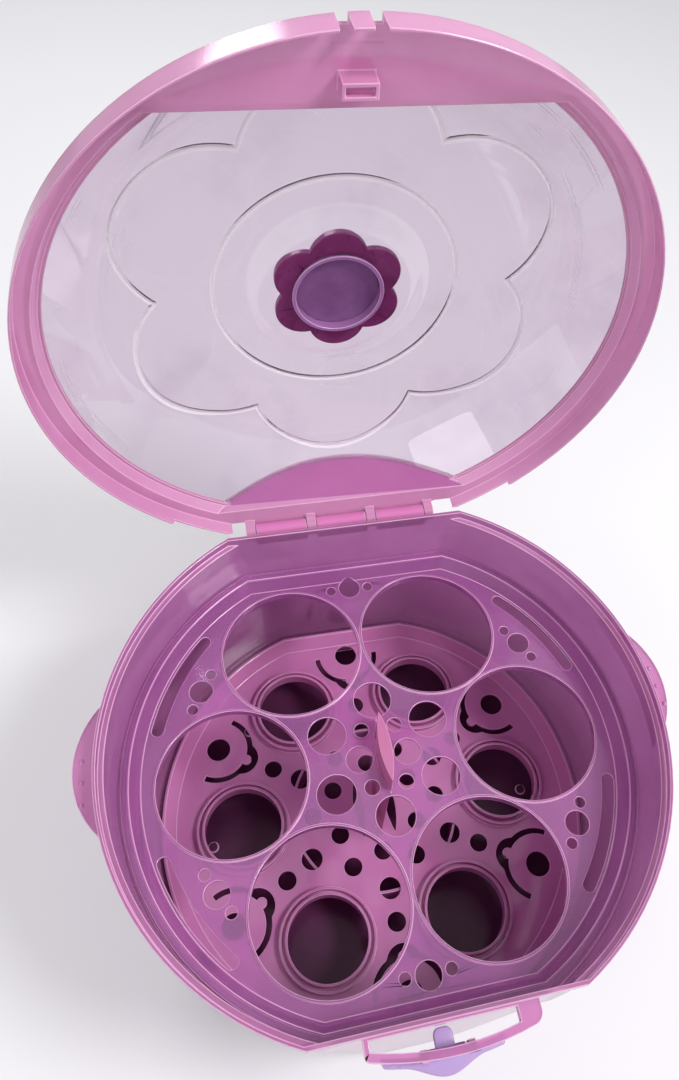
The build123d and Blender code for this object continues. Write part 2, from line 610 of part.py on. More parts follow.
def make_badge_plate():
    """Bare round plate inside the sleeve."""
    low = WELL_Z - WINDOW_WALL - BEZEL_FLANGE + BADGE_RECESS
    return prism(Circle(BEZEL_SLEEVE_RADIUS - BEZEL_WALL), low, low + BADGE_PLATE_THICKNESS)


def make_latch():
    """Lever on one hub: a curved plate that swings up in front of the lid's tab, and a tongue inside."""
    hub = across(FRONT_X, LATCH_AXIS_Y, LATCH_Z, LATCH_HUB_RADIUS, LATCH_HUB_LENGTH)
    half_tongue = TONGUE_WIDTH / 2
    tip = LATCH_AXIS_Y + TONGUE_LENGTH
    tongue = Pos(FRONT_X, tip - half_tongue) * Circle(half_tongue)
    tongue += Pos(FRONT_X, (tip - half_tongue + LATCH_AXIS_Y) / 2) * Rectangle(
        TONGUE_WIDTH, tip - half_tongue - LATCH_AXIS_Y
    )
    latch = hub + prism(tongue, LATCH_Z - TONGUE_THICKNESS / 2, LATCH_Z + TONGUE_THICKNESS / 2)
    top = LATCH_Z - (SKIRT_OUT + LATCH_AXIS_Y + LATCH_GAP)
    inner = -LATCH_AXIS_Y
    thumb = Pos(FRONT_X, LATCH_AXIS_Y - LATCH_THUMB_REACH + LATCH_THUMB_RADIUS) * Circle(LATCH_THUMB_RADIUS)
    lever = (Circle(inner + LATCH_BAND) + thumb) - Circle(inner)
    lever &= Pos(FRONT_X, -inner) * Rectangle(LATCH_WIDTH, inner)
    lever &= Pos(0, -BIG / 2) * Rectangle(BIG, BIG)
    latch += prism(lever, top - LATCH_PLATE, top)
    neck = LATCH_HUB_LENGTH / 2 - SIDE_PLAY
    latch += block(
        FRONT_X - neck, FRONT_X + neck, LATCH_AXIS_Y - LATCH_HUB_RADIUS, LATCH_AXIS_Y,
        top - LATCH_PLATE, LATCH_Z,
    )
    return latch - across(FRONT_X, LATCH_AXIS_Y, LATCH_Z, LATCH_PIN_RADIUS + PIN_PLAY, LATCH_HUB_LENGTH)


def opened(piece):
    """A piece of the closed lid, swung back to where the open lid rests."""
    return Pos(0, HINGE_Y, HINGE_Z) * Rot(-OPEN_ANGLE, 0, 0) * Pos(0, -HINGE_Y, -HINGE_Z) * piece


def main():
    pieces = {
        "tub": make_tub(),
        "hinge_pin": make_hinge_pin(),
        "latch_pin": make_latch_pin(),
        "lower_tray": make_tray(),
        "lift_handle": make_lift_handle(),
        "upper_rack": make_rack(),
        "lid_frame": opened(make_lid_frame()),
        "lid_window": opened(make_window()),
        "flower_cap": opened(make_flower_cap()),
        "badge_bezel": opened(make_bezel()),
        "badge_plate": opened(make_badge_plate()),
        "latch": make_latch(),
    }
    for name, piece in pieces.items():
        export_step(piece, f"parts/{name}.step")
        print(name, len(piece.solids()), round(piece.volume))


os.makedirs("parts", exist_ok=True)
main()
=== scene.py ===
from math import cos, pi, radians, sin, sqrt

import bmesh
import bpy
from mathutils import Matrix, Vector


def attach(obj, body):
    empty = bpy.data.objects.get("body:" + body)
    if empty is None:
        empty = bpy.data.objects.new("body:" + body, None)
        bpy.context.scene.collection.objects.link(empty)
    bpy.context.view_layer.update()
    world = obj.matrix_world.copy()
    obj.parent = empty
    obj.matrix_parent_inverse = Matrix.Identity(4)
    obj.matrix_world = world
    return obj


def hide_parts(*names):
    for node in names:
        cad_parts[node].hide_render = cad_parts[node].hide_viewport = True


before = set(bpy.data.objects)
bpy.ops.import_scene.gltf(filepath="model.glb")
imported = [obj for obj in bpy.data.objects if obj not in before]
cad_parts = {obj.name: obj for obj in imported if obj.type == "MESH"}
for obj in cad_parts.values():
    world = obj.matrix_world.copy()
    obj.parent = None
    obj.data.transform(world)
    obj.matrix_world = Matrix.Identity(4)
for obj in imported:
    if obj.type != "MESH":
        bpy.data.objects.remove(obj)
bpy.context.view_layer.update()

# Lengths are in metres, in the tub's frame: +Z up out of the tub, +Y towards the lid's hinge.
# The functions that build shapes take millimetres.
MM = 0.001
HINGE = Vector((-2.2, 122.5, 144.0))
OPEN_ANGLE = radians(88.4)
OPEN_TURN = Matrix.Rotation(-OPEN_ANGLE, 3, "X")
CLOSED_TURN = OPEN_TURN.transposed()

# The photograph's camera, and the width in pixels that its numbers were worked out for
PHOTO_WIDTH = 679
CAMERA_PLACE = (-0.05609, -0.14212, 0.50761)
CAMERA_TURN = (35.837, -4.544, -11.873)
CAMERA_FOCUS = 814.0
CAMERA_SHIFT = (-0.08286, -0.01024)
SENSOR_WIDTH = 36.0

# The tub
REAR_WALL = 117.2
FRONT_WALL = 121.0
RIM_TOP = 148.0
FLOOR_TOP = 3.5
DOT_X = 139.8
DOT_Z = 137.65
DOT_SPACING = 10.0
DOT_RADIUS = 1.5
DOT_SLACK = 0.3
BARREL_DEPTH = 12.0

# The lid's rear panel, which rises into the window
REAR_PANEL = 107.8
PANEL_FOOT = 150.5
PANEL_HALF_WIDTH = 62.0

# The window: a shallow ball, a bend at its shoulder and a straight skirt
STEPS_ROUND = 480
BALL_RADIUS = 900.9
BALL_HEIGHT = -708.9
BEND_RADIUS = 25.0
BEND_PLACE = (90.103, 162.353)
SKIRT_SLOPE = (0.80796, 0.58924)
SKIRT_FOOT = 126.6
WINDOW_WALL = 2.0
WINDOW_FRONT = 106.2
WINDOW_REAR = 108.2
BORE = 20.6
WELL_FLOOR = 187.5
WELL_EDGE = (32.5, 45.0)
CIRCLE_LINE = 56.6
PETAL_CENTRE = 60.7
PETAL_RADIUS = 42.3
LINE_HALF_WIDTH = 1.5
LINE_HEIGHT = 0.6
CIRCLE_LEAD = 0.5
PETAL_LEAD = 0.4
RING_COUNTS = (2, 16, 10, 22)

# The angle between two faces from which their edge is sharp
SHARP = radians(32)
LATCH_SHARP = radians(35)

# The latch
FRONT_X = -3.5
LATCH_Y = -131.0
LATCH_Z = 136.4
LEVER_TOP = 131.9
LEVER_HALF_WIDTH = 25.3
LEVER_BAND = 3.6
LEVER_GAP = 0.15
LEVER_CORNER = 1.8
LEVER_STEPS = 60
SWELL = 4.2
SWELL_HALF_WIDTH = 17.0
NECK = (7.6, 2.0)
TONGUE_HALF_WIDTH = 3.95
TONGUE_REACH = 8.6
TONGUE_CORNER = 2.8
HUB_RADIUS = 2.1
HUB_LENGTH = 15.9


def opened(x, y, z):
    """Place on the open lid of a point of the closed lid."""
    return (HINGE + OPEN_TURN @ (Vector((x, y, z)) - HINGE)) * MM


# ---- materials ----


def new_group(name, inputs, outputs):
    """Shader node group with these named sockets; returns it with its two end nodes."""
    group = bpy.data.node_groups.new(name, "ShaderNodeTree")
    for label, kind, value in inputs:
        socket = group.interface.new_socket(label, in_out="INPUT", socket_type=kind)
        socket.default_value = value
    for label, kind in outputs:
        group.interface.new_socket(label, in_out="OUTPUT", socket_type=kind)
    return group, group.nodes.new("NodeGroupInput"), group.nodes.new("NodeGroupOutput")


def feed(tree, socket, value):
    """Give a socket a number, a colour or another node's output."""
    if isinstance(value, bpy.types.NodeSocket):
        tree.links.new(value, socket)
    else:
        socket.default_value = value


def noise(tree, place, scale, detail=3.0, roughness=0.5):
    node = tree.nodes.new("ShaderNodeTexNoise")
    feed(tree, node.inputs["Vector"], place)
    feed(tree, node.inputs["Scale"], scale)
    node.inputs["Detail"].default_value = detail
    node.inputs["Roughness"].default_value = roughness
    return node.outputs["Fac"]


def ramp(tree, value, low, high, out_low=0.0, out_high=1.0):
    node = tree.nodes.new("ShaderNodeMapRange")
    node.interpolation_type = "SMOOTHSTEP"
    numbers = (value, low, high, out_low, out_high)
    for label, number in zip(("Value", "From Min", "From Max", "To Min", "To Max"), numbers):
        feed(tree, node.inputs[label], number)
    return node.outputs["Result"]


def maths(tree, operation, *values):
    node = tree.nodes.new("ShaderNodeMath")
    node.operation = operation
    for socket, value in zip(node.inputs, values):
        feed(tree, socket, value)
    return node.outputs[0]


def blend_colours(tree, amount, first, second):
    node = tree.nodes.new("ShaderNodeMix")
    node.data_type = "RGBA"
    feed(tree, node.inputs["Factor"], amount)
    feed(tree, node.inputs["A"], first)
    feed(tree, node.inputs["B"], second)
    return node.outputs["Result"]


def moulded_skin():
    """Moulded plastic's colour drift, its uneven gloss and its fine grain."""
    inputs = [
        ("Colour", "NodeSocketColor", (0.8, 0.4, 0.6, 1)),
        ("Thick Colour", "NodeSocketColor", (0.7, 0.3, 0.5, 1)),
        ("Flow Size", "NodeSocketFloat", 14.0),
        ("Gloss", "NodeSocketFloat", 0.15),
        ("Grain", "NodeSocketFloat", 0.05),
    ]
    outputs = [
        ("Colour", "NodeSocketColor"),
        ("Roughness", "NodeSocketFloat"),
        ("Height", "NodeSocketFloat"),
    ]
    group, start, end = new_group("moulded skin", inputs, outputs)
    place = group.nodes.new("ShaderNodeTexCoord").outputs["Object"]
    flow = ramp(group, noise(group, place, start.outputs["Flow Size"], 4.0, 0.6), 0.35, 0.7)
    colour = blend_colours(group, flow, start.outputs["Colour"], start.outputs["Thick Colour"])
    cloud = noise(group, place, 60.0)
    gloss = maths(group, "MULTIPLY_ADD", cloud, start.outputs["Grain"], start.outputs["Gloss"])
    feed(group, end.inputs["Colour"], colour)
    feed(group, end.inputs["Roughness"], gloss)
    feed(group, end.inputs["Height"], noise(group, place, 900.0, 2.0))
    return group


def wiping_marks():
    """Hairline scratches and hazy smears of a clear plastic that is washed and wiped often."""
    inputs = [("Size", "NodeSocketFloat", 30.0)]
    outputs = [("Marks", "NodeSocketFloat"), ("Haze", "NodeSocketFloat")]
    group, start, end = new_group("wiping marks", inputs, outputs)
    place = group.nodes.new("ShaderNodeTexCoord").outputs["Object"]
    marks = 0.0
    for turn, stretch in ((0.4, 26.0), (1.3, 34.0), (2.3, 22.0)):
        mapping = group.nodes.new("ShaderNodeMapping")
        mapping.inputs["Rotation"].default_value = (turn, turn * 1.7, turn * 0.6)
        mapping.inputs["Scale"].default_value = (1.0, stretch, 1.0)
        feed(group, mapping.inputs["Vector"], place)
        line = noise(group, mapping.outputs["Vector"], start.outputs["Size"], 2.0)
        marks = maths(group, "MAXIMUM", marks, ramp(group, line, 0.69, 0.72))
    feed(group, end.inputs["Marks"], marks)
    feed(group, end.inputs["Haze"], ramp(group, noise(group, place, 17.0, 4.0, 0.6), 0.45, 0.75))
    return group


SKIN = moulded_skin()
MARKS = wiping_marks()
GRAIN = 0.05
RELIEF_DEPTH = 0.05
# Heights in metres over which the painted shade low in the tub sets in; it is full at the lower one.
LOW_SHADE_HEIGHTS = (0.115, 0.02)


def new_material(name):
    material = bpy.data.materials.new(name)
    material.use_nodes = True
    return material, material.node_tree, material.node_tree.nodes["Principled BSDF"]


def plastic(name, colour, thick, clear=0.0, gloss=0.15, flow=14.0, coat=0.0, shine=0.5, low_shade=None):
    """Moulded plastic: clear is the share of light let through, low_shade a painted shade that
    darkens it low in the tub.
    """
    material, tree, surface = new_material(name)
    skin = tree.nodes.new("ShaderNodeGroup")
    skin.node_tree = SKIN
    skin.inputs["Colour"].default_value = (*colour, 1)
    skin.inputs["Thick Colour"].default_value = (*thick, 1)
    skin.inputs["Flow Size"].default_value = flow
    skin.inputs["Gloss"].default_value = gloss
    skin.inputs["Grain"].default_value = GRAIN
    shade = skin.outputs["Colour"]
    if low_shade:
        # Painted shade: low in the tub the colour blends into a darker one.
        apart = tree.nodes.new("ShaderNodeSeparateXYZ")
        feed(tree, apart.inputs[0], tree.nodes.new("ShaderNodeTexCoord").outputs["Object"])
        depth = ramp(tree, apart.outputs["Z"], *LOW_SHADE_HEIGHTS)
        shade = blend_colours(tree, depth, shade, (*low_shade, 1))
    feed(tree, surface.inputs["Base Color"], shade)
    feed(tree, surface.inputs["Roughness"], skin.outputs["Roughness"])
    relief = tree.nodes.new("ShaderNodeBump")
    relief.inputs["Strength"].default_value = 0.15
    relief.inputs["Distance"].default_value = RELIEF_DEPTH * MM
    feed(tree, relief.inputs["Height"], skin.outputs["Height"])
    feed(tree, surface.inputs["Normal"], relief.outputs["Normal"])
    surface.inputs["Transmission Weight"].default_value = clear
    surface.inputs["IOR"].default_value = 1.5
    surface.inputs["Specular IOR Level"].default_value = shine
    surface.inputs["Coat Weight"].default_value = coat
    surface.inputs["Coat Roughness"].default_value = 0.08
    return material


def window_plastic(name, tint, hazy_tint):
    """Clear plastic with wiping marks."""
    material, tree, surface = new_material(name)
    marks = tree.nodes.new("ShaderNodeGroup")
    marks.node_tree = MARKS
    marks.inputs["Size"].default_value = 9.0
    tinted = blend_colours(tree, marks.outputs["Haze"], (*tint, 1), (*hazy_tint, 1))
    feed(tree, surface.inputs["Base Color"], tinted)
    feed(tree, surface.inputs["Roughness"], ramp(tree, marks.outputs["Marks"], 0.0, 1.0, 0.02, 0.3))
    surface.inputs["Transmission Weight"].default_value = 1.0
    surface.inputs["IOR"].default_value = 1.49
    return material


PINK = plastic(
    "pink translucent plastic", (0.71, 0.30, 0.66), (0.63, 0.23, 0.60), clear=0.7, gloss=0.05
)
# The rack's pink made lighter for the tray: painted light against the rack's shadow on it.
TRAY_PINK_LIT = plastic(
    "tray pink with painted light", (0.90, 0.37, 0.73), (0.85, 0.30, 0.66), clear=0.45, gloss=0.08
)
# Paler, less clear pink on rounded edges: a painted highlight.
PINK_EDGE_HIGHLIGHT = plastic("pink edge painted highlight", (0.95, 0.58, 0.84), (0.92, 0.50, 0.78), clear=0.3, gloss=0.08)
TUB_PINK = plastic(
    "tub pink plastic", (0.74, 0.30, 0.60), (0.68, 0.24, 0.53), clear=0.6, gloss=0.08
)
# Inside walls of the tub: a darker copy of its pink, painted shade, darker still near the floor.
TUB_INSIDE_SHADED = plastic(
    "tub inside painted shade", (0.55, 0.22, 0.50), (0.47, 0.16, 0.42), clear=0.45, gloss=0.1,
    low_shade=(0.18, 0.05, 0.14),
)
# Inside floor of the tub: a dark plum sheet in place of its pink, painted shade.
TUB_FLOOR_SHADE = plastic(
    "tub floor painted shade", (0.11, 0.028, 0.08), (0.08, 0.02, 0.06), gloss=0.14, shine=0.2
)
LID_PINK = plastic(
    "lid pink plastic", (0.87, 0.43, 0.70), (0.81, 0.36, 0.64), clear=0.45, gloss=0.08
)
# Paler lid pink on rounded edges: a painted highlight.
LID_EDGE_HIGHLIGHT = plastic("lid edge painted highlight", (0.96, 0.58, 0.80), (0.92, 0.50, 0.75), clear=0.35, gloss=0.08)
PANEL_PINK = plastic(
    "rear panel plastic", (0.56, 0.17, 0.44), (0.50, 0.14, 0.38), clear=0.3, gloss=0.12
)
HINGE_PINK = plastic(
    "hinge pink plastic", (0.78, 0.25, 0.56), (0.72, 0.21, 0.50), clear=0.2, gloss=0.12
)
BLADE_PINK = plastic(
    "blade pink plastic", (0.86, 0.29, 0.58), (0.80, 0.24, 0.52), clear=0.4, gloss=0.12
)
# Paler blade pink on rounded edges: a painted highlight.
BLADE_EDGE_HIGHLIGHT = plastic(
    "blade edge painted highlight", (0.94, 0.44, 0.70), (0.90, 0.38, 0.64), clear=0.3, gloss=0.12
)
CLEAR = window_plastic("clear window plastic", (0.74, 0.65, 0.74), (0.66, 0.56, 0.67))
# Pale, less clear plastic on the window's raised lines: a painted highlight.
RAISED_LINE_HIGHLIGHT = plastic(
    "raised line painted highlight", (0.97, 0.90, 0.96), (0.94, 0.85, 0.93), clear=0.6, gloss=0.1
)
MAGENTA = plastic(
    "magenta cap plastic", (0.38, 0.055, 0.25), (0.32, 0.045, 0.20), gloss=0.25, coat=0.3
)
# Paler magenta on the cap's rounded edges: a painted highlight.
MAGENTA_EDGE_HIGHLIGHT = plastic(
    "magenta cap edge painted highlight", (0.46, 0.13, 0.33), (0.40, 0.10, 0.28), gloss=0.22, coat=0.3
)
RING_LILAC = plastic(
    "cap ring plastic", (0.40, 0.18, 0.42), (0.34, 0.14, 0.36), clear=0.1, gloss=0.2, coat=0.2
)
# Paler lilac on the cap ring's rounded edges: a painted highlight.
RING_EDGE_HIGHLIGHT = plastic("cap ring edge painted highlight", (0.66, 0.40, 0.68), (0.60, 0.34, 0.62), clear=0.1, gloss=0.2)
LILAC = plastic(
    "lilac latch plastic", (0.52, 0.37, 0.68), (0.47, 0.32, 0.62), clear=0.1, gloss=0.25, coat=0.2
)
VIOLET = plastic(
    "violet plate plastic", (0.25, 0.11, 0.28), (0.18, 0.07, 0.21), gloss=0.2, flow=40.0, coat=0.4
)
# Paler violet on the plate's rounded edges: a painted highlight.
VIOLET_EDGE_HIGHLIGHT = plastic("violet plate edge painted highlight", (0.34, 0.16, 0.36), (0.28, 0.12, 0.30), gloss=0.2)


# ---- pieces ----


def place_piece(name, mesh, finishes, node, body):
    """Object that stands for a node, which it hides, rides its body and takes the given materials.
    """
    for finish in finishes:
        mesh.materials.append(finish)
    piece = bpy.data.objects.new(name, mesh)
    bpy.context.scene.collection.objects.link(piece)
    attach(piece, body)
    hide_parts(node)
    return piece


def round_edges(piece, width, finish=1, segments=2):
    rounding = piece.modifiers.new("rounding", "BEVEL")
    rounding.limit_method = "WEIGHT"
    rounding.width = width * MM
    rounding.segments = segments
    # The rounded faces take the material at index finish, a painted highlight.
    rounding.material = finish
    rounding.use_clamp_overlap = False
    flatness = piece.modifiers.new("flatness", "WEIGHTED_NORMAL")
    flatness.keep_sharp = True


def whole_piece(facet):
    """Every face takes the first finish."""
    return 0


def near_dots(edge):
    """Whether an edge lies on one of the dots of the tub's grips."""
    middle = (edge.verts[0].co + edge.verts[1].co) / 2 / MM
    for side in (-1, 1):
        for step in (-1, 0, 1):
            dot = Vector((side * DOT_X, step * DOT_SPACING, DOT_Z))
            if (middle - dot).length < DOT_RADIUS + DOT_SLACK:
                return True
    return False


def moulded(node, body, name, finishes, width=0.35, region=whole_piece, segments=2, spare=None):
    """Piece with the node's shape; the second finish is a painted highlight on its rounded edges,
    and spare edges stay.
    """
    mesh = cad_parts[node].data.copy()
    mesh.name = name
    mesh.materials.clear()
    shape = bmesh.new()
    shape.from_mesh(mesh)
    bmesh.ops.remove_doubles(shape, verts=shape.verts, dist=0.003 * MM)
    for facet in shape.faces:
        facet.smooth = True
        facet.material_index = region(facet)
    weights = shape.edges.layers.float.new("bevel_weight_edge")
    for edge in shape.edges:
        edge.smooth = len(edge.link_faces) != 2 or edge.calc_face_angle() < SHARP
        if not edge.smooth and not (spare and spare(edge)):
            edge[weights] = 1.0
    shape.to_mesh(mesh)
    shape.free()
    piece = place_piece(name, mesh, finishes, node, body)
    round_edges(piece, width, segments=segments)
    return piece


def tub_region(facet):
    """Finish of a face of the tub: outside, inside wall and inside floor (both painted shade) or
    hinge barrel.
    """
    place, facing = facet.calc_center_median() / MM, facet.normal
    if place.y > REAR_WALL + 1 and place.z > RIM_TOP - BARREL_DEPTH:
        return 4
    if place.z < FLOOR_TOP and facing.z > 0.8:
        return 3
    across = Vector((place.x, place.y, 0))
    inward = across.dot(facing) < -0.3 * across.length
    within = -FRONT_WALL - 0.5 < place.y < REAR_WALL
    return 2 if inward and within and place.z < RIM_TOP - 1 else 0


def ring_region(facet):
    """Finish of a face of the lid's frame: the rear panel has its own."""
    place = CLOSED_TURN @ (facet.calc_center_median() / MM - HINGE) + HINGE
    high = place.z > PANEL_FOOT and abs(place.x) < PANEL_HALF_WIDTH
    return 2 if high and place.y > REAR_PANEL else 0


def ball_line(radius, inset):
    """Height of the window's skin at this radius; inset is its depth under the outer skin."""
    ball, bend = BALL_RADIUS - inset, BEND_RADIUS - inset
    bend_start = BEND_PLACE[0] * ball / (BALL_RADIUS - BEND_RADIUS)
    bend_end = BEND_PLACE[0] + bend * SKIRT_SLOPE[0]
    if radius < bend_start:
        return BALL_HEIGHT + sqrt(ball**2 - radius**2)
    if radius < bend_end:
        return BEND_PLACE[1] + sqrt(bend**2 - (radius - BEND_PLACE[0]) ** 2)
    start = BEND_PLACE[1] + bend * SKIRT_SLOPE[1]
    return start - (radius - bend_end) * SKIRT_SLOPE[0] / SKIRT_SLOPE[1]


def window_line(radius, inset):
    """Height of the window's skin, with the well round its middle."""
    low, high = WELL_EDGE
    part = min(max((radius - low) / (high - low), 0.0), 1.0)
    part = part * part * (3 - 2 * part)
    return (1 - part) * (WELL_FLOOR - inset) + part * ball_line(radius, inset)


def petal_line(angle):
    """Radius of the petals' outline at this angle, and how much wider its line is cut there."""
    off = angle % (pi / 3) - pi / 6
    side = PETAL_CENTRE * sin(off)
    rest = sqrt(PETAL_RADIUS**2 - side**2)
    radius = PETAL_CENTRE * cos(off) + rest
    return radius, sqrt(1 + (side / rest) ** 2)


def spread(start, end, count):
    """Evenly spaced numbers after start, up to and with end."""
    return [start + (end - start) * step / count for step in range(1, count + 1)]


def raised_line(middle, width):
    """Radius and inset of the rings across a raised line."""
    steps = [step / 5 for step in range(-5, 6)]
    return [(middle + step * width, -LINE_HEIGHT * cos(step * pi / 2) ** 2) for step in steps]


def window_reach(angle, foot):
    """Radius at which the window ends at this angle."""
    across = sin(angle)
    if across < 0:
        return min(foot, WINDOW_FRONT / -across)
    return min(foot, WINDOW_REAR / max(across, 0.001))


def skin_rings(angle, inset, foot):
    """Radius and inset of one skin's rings at this angle; a raised line shows on both skins."""
    petals, lean = petal_line(angle)
    half = LINE_HALF_WIDTH
    middle, well, between, rim = RING_COUNTS
    inside = [BORE] + spread(BORE, WELL_EDGE[0], middle)
    inside += spread(WELL_EDGE[0], CIRCLE_LINE - half - CIRCLE_LEAD, well)
    around = spread(CIRCLE_LINE + half, petals - half * lean - PETAL_LEAD, between)
    outside = spread(petals + half * lean, window_reach(angle, foot), rim)
    rings = [(radius, 0.0) for radius in inside] + raised_line(CIRCLE_LINE, half)
    rings += [(radius, 0.0) for radius in around] + raised_line(petals, half * lean)
    rings += [(radius, 0.0) for radius in outside]
    return [(radius, inset + rise) for radius, rise in rings]


def window_mesh():
    """Clear dome with a raised circle, a raised flower outline and a well for the cap."""
    shape = bmesh.new()
    skins = []
    for skin, foot in ((0.0, SKIRT_FOOT), (WINDOW_WALL, SKIRT_FOOT - WINDOW_WALL / SKIRT_SLOPE[0])):
        columns = []
        for step in range(STEPS_ROUND):
            angle = 2 * pi * step / STEPS_ROUND
            column = []
            raised = []
            for radius, inset in skin_rings(angle, skin, foot):
                x, y = radius * cos(angle), radius * sin(angle)
                column.append(shape.verts.new(opened(x, y, window_line(radius, inset))))
                raised.append(inset - skin < -LINE_HEIGHT / 3)
            columns.append(column)
        skins.append(columns)
        for here, there in zip(columns, columns[1:] + columns[:1]):
            for low in range(len(here) - 1):
                facet = shape.faces.new((here[low], here[low + 1], there[low + 1], there[low]))
                # Faces along the raised lines take the painted highlight.
                facet.material_index = 2 if raised[low] and raised[low + 1] else 0
    outer, inner = skins
    for end in (0, -1):
        for step in range(STEPS_ROUND):
            after = (step + 1) % STEPS_ROUND
            corners = (outer[step], outer[after], inner[after], inner[step])
            strip = shape.faces.new([column[end] for column in corners])
            # The strip round the window's foot takes the pink painted highlight, the strip at the
            # bore the clear plastic.
            strip.material_index = -end
    bmesh.ops.recalc_face_normals(shape, faces=shape.faces)
    rims = {column[end] for columns in skins for column in columns for end in (0, -1)}
    for facet in shape.faces:
        facet.smooth = True
    for edge in shape.edges:
        edge.smooth = not (edge.verts[0] in rims and edge.verts[1] in rims)
    mesh = bpy.data.meshes.new("lid_dome")
    shape.to_mesh(mesh)
    shape.free()
    return mesh


def moved_inwards(points, amount):
    """Outline, drawn against the clock, with each point moved inwards."""
    moved = []
    for index, (x, y) in enumerate(points):
        along = Vector(points[(index + 1) % len(points)]) - Vector(points[index - 1])
        along.normalize()
        moved.append((x - amount * along.y, y + amount * along.x))
    return moved


def add_prism(shape, points, low, high, rounding):
    """Closed outline of (x, y) points made solid between two heights, its edges rounded."""
    turns = [pi / 8 * step for step in range(5)]
    levels = [(1 - sin(turn), low + rounding * (1 - cos(turn))) for turn in turns]
    levels += [(1 - sin(turn), high - rounding * (1 - cos(turn))) for turn in reversed(turns)]
    rings = []
    for share, z in levels:
        outline = moved_inwards(points, rounding * share)
        rings.append([shape.verts.new(Vector((x, y, z)) * MM) for x, y in outline])
    shape.faces.new(rings[0][::-1])
    shape.faces.new(rings[-1])
    for below, above in zip(rings, rings[1:]):
        for index in range(len(points)):
            after = (index + 1) % len(points)
            shape.faces.new((below[index], below[after], above[after], above[index]))


def lever_points():
    """Plan of the latch's lever: a band along the loop that swells to a thumb tab in the middle."""
    outer, inner = [], []
    for step in range(LEVER_STEPS + 1):
        u = -LEVER_HALF_WIDTH + 2 * LEVER_HALF_WIDTH * step / LEVER_STEPS
        x = FRONT_X + u
        rise = SWELL * cos(min(abs(u) / SWELL_HALF_WIDTH, 1.0) * pi / 2) ** 2
        end = min(LEVER_HALF_WIDTH - abs(u), LEVER_CORNER)
        corner = LEVER_CORNER - sqrt(LEVER_CORNER**2 - (LEVER_CORNER - end) ** 2)
        edge = sqrt(LATCH_Y**2 - x**2)
        outer.append((x, -edge - LEVER_BAND - rise + corner))
        inner.append((x, -edge - LEVER_GAP))
    return outer + inner[::-1]


def tongue_points():
    """Plan of the latch's tongue, which points inwards from the hub and ends round."""
    tip = LATCH_Y + TONGUE_REACH - TONGUE_CORNER
    points = [(FRONT_X - TONGUE_HALF_WIDTH, LATCH_Y), (FRONT_X + TONGUE_HALF_WIDTH, LATCH_Y)]
    for side in (1, -1):
        for step in range(7):
            turn = pi / 2 * (step if side > 0 else 6 - step) / 6
            out = TONGUE_HALF_WIDTH - TONGUE_CORNER + TONGUE_CORNER * cos(turn)
            points.append((FRONT_X + side * out, tip + TONGUE_CORNER * sin(turn)))
    return points


def add_hub(shape):
    """Round bar along X on which the latch turns."""
    radius = HUB_RADIUS * MM
    place = Matrix.Translation(Vector((FRONT_X, LATCH_Y, LATCH_Z)) * MM)
    hub = bmesh.ops.create_cone(
        shape, cap_ends=True, segments=40, radius1=radius, radius2=radius, depth=HUB_LENGTH * MM,
        matrix=place @ Matrix.Rotation(pi / 2, 4, "Y"),
    )
    rims = {edge for vert in hub["verts"] for edge in vert.link_edges if edge.calc_length() < MM}
    bmesh.ops.bevel(
        shape, geom=list(rims), offset=0.3 * MM, segments=2, profile=0.5, affect="EDGES",
        clamp_overlap=True,
    )


def latch_mesh():
    """Lever, neck, tongue and hub of the latch."""
    shape = bmesh.new()
    add_prism(shape, lever_points(), LEVER_TOP - 2.4, LEVER_TOP, 0.7)
    half, depth = NECK
    corners = ((-half, -depth), (half, -depth), (half, 0.0), (-half, 0.0))
    neck = [(FRONT_X + x, LATCH_Y + y) for x, y in corners]
    add_prism(shape, neck, LEVER_TOP - 2.2, LATCH_Z, 0.3)
    add_prism(shape, tongue_points(), LATCH_Z - 1.1, LATCH_Z + 1.1, 0.8)
    add_hub(shape)
    for facet in shape.faces:
        facet.smooth = True
    bmesh.ops.recalc_face_normals(shape, faces=shape.faces)
    for edge in shape.edges:
        edge.smooth = len(edge.link_faces) == 2 and edge.calc_face_angle() < LATCH_SHARP
    mesh = bpy.data.meshes.new("latch_lever")
    shape.to_mesh(mesh)
    shape.free()
    return mesh


moulded(
    "tub", "base", "tub_bowl",
    [TUB_PINK, PINK_EDGE_HIGHLIGHT, TUB_INSIDE_SHADED, TUB_FLOOR_SHADE, HINGE_PINK], region=tub_region, spare=near_dots,
)
moulded("hinge_pin", "base", "hinge_rod", [HINGE_PINK, PINK_EDGE_HIGHLIGHT])
moulded("latch_pin", "base", "latch_rod", [LID_PINK, PINK_EDGE_HIGHLIGHT])
moulded("lower_tray", "tray", "bottle_tray", [TRAY_PINK_LIT, PINK_EDGE_HIGHLIGHT], 0.25)
moulded("lift_handle", "tray", "lifting_blade", [BLADE_PINK, BLADE_EDGE_HIGHLIGHT], 0.4)
moulded("upper_rack", "rack", "bottle_rack", [PINK, PINK_EDGE_HIGHLIGHT], 0.3)
moulded(
    "lid_frame", "lid", "lid_ring", [LID_PINK, LID_EDGE_HIGHLIGHT, PANEL_PINK],
    region=ring_region,
)
place_piece(
    "lid_dome", window_mesh(), [CLEAR, PINK_EDGE_HIGHLIGHT, RAISED_LINE_HIGHLIGHT], "lid_window", "lid"
)
moulded(
    "flower_cap", "lid", "vent_flower", [MAGENTA, MAGENTA_EDGE_HIGHLIGHT], 0.5, segments=3
)
moulded("badge_bezel", "lid", "cap_ring", [RING_LILAC, RING_EDGE_HIGHLIGHT], 0.3)
moulded("badge_plate", "lid", "cap_plate", [VIOLET, VIOLET_EDGE_HIGHLIGHT], 0.3)
place_piece("latch_lever", latch_mesh(), [LILAC], "latch", "latch")


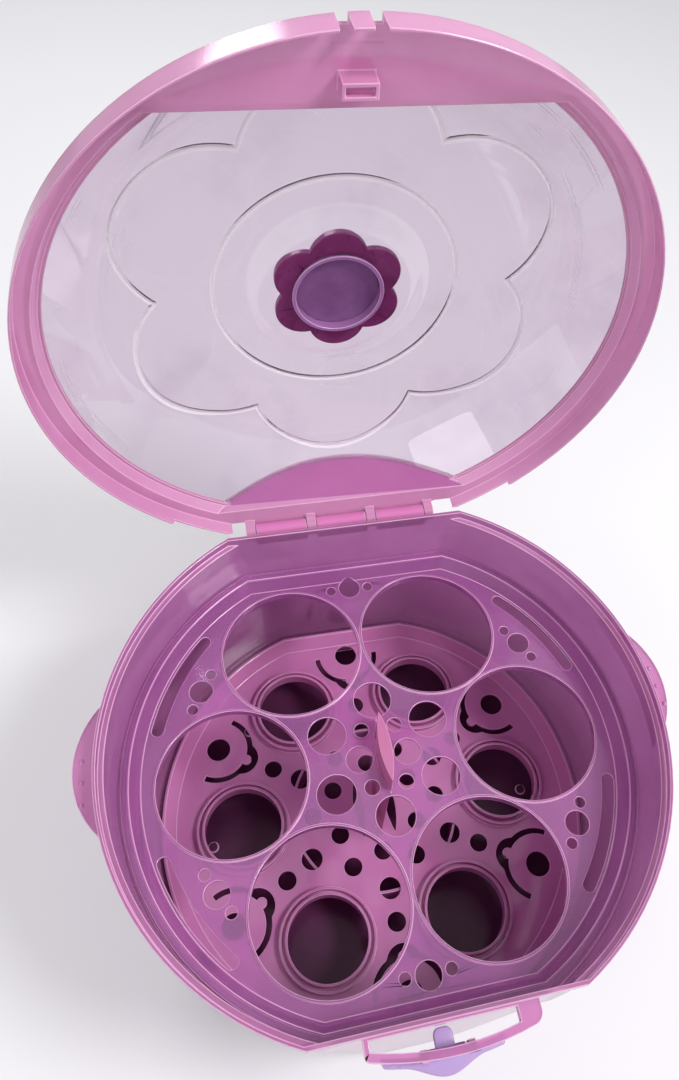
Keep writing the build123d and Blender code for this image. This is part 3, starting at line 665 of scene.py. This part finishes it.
# ---- floor, light and camera ----


def seen_rays(tree):
    """1 for rays from the camera, a gloss or a clear piece, and 0 for the rest."""
    paths = tree.nodes.new("ShaderNodeLightPath").outputs
    seen = maths(tree, "MAXIMUM", paths["Is Camera Ray"], paths["Is Glossy Ray"])
    return maths(tree, "MAXIMUM", seen, paths["Is Transmission Ray"])


def make_floor():
    bpy.ops.mesh.primitive_circle_add(
        vertices=96, radius=6.0, fill_type="NGON", location=(0, 0, -0.0004)
    )
    floor = bpy.context.object
    floor.name = "studio_floor"
    material, tree, surface = new_material("pale floor")
    surface.inputs["Base Color"].default_value = (0.64, 0.63, 0.65, 1)
    surface.inputs["Emission Color"].default_value = (0.97, 0.97, 1.0, 1)
    shine = ramp(tree, seen_rays(tree), 0.0, 1.0, 0.0, 0.22)
    feed(tree, surface.inputs["Emission Strength"], shine)
    surface.inputs["Roughness"].default_value = 0.9
    surface.inputs["Specular IOR Level"].default_value = 0.1
    floor.data.materials.append(material)


def make_world():
    """Even pale surroundings, which camera, glass and gloss see paler than their light is."""
    world = bpy.data.worlds.new("studio")
    bpy.context.scene.world = world
    world.use_nodes = True
    tree = world.node_tree
    background = tree.nodes["Background"]
    background.inputs["Color"].default_value = (0.97, 0.97, 1.0, 1)
    feed(tree, background.inputs["Strength"], ramp(tree, seen_rays(tree), 0.0, 1.0, 0.46, 0.82))


def make_lamp(name, place, aim, size, power):
    lamp = bpy.data.lights.new(name, "AREA")
    lamp.shape = "DISK"
    lamp.size = size
    lamp.energy = power
    holder = bpy.data.objects.new(name, lamp)
    bpy.context.scene.collection.objects.link(holder)
    holder.location = place
    holder.rotation_euler = (Vector(aim) - Vector(place)).to_track_quat("-Z", "Y").to_euler()


def make_camera():
    camera = bpy.data.cameras.new("photo_camera")
    camera.sensor_fit = "HORIZONTAL"
    camera.sensor_width = SENSOR_WIDTH
    camera.lens = CAMERA_FOCUS / PHOTO_WIDTH * SENSOR_WIDTH
    camera.shift_x, camera.shift_y = CAMERA_SHIFT
    camera.clip_start = 0.01
    holder = bpy.data.objects.new("photo_camera", camera)
    bpy.context.scene.collection.objects.link(holder)
    holder.location = CAMERA_PLACE
    holder.rotation_euler = [radians(angle) for angle in CAMERA_TURN]
    bpy.context.scene.camera = holder


make_floor()
make_world()
make_lamp("key", (0.75, -0.35, 1.25), (0, 0.05, 0.12), 0.45, 15.5)
make_lamp("fill", (-0.8, -0.6, 1.0), (0, 0.05, 0.12), 0.7, 3.0)
make_lamp("rear", (-0.3, 1.0, 1.0), (0, 0.1, 0.2), 0.5, 4.0)
make_camera()
bpy.context.scene.view_settings.view_transform = "Standard"
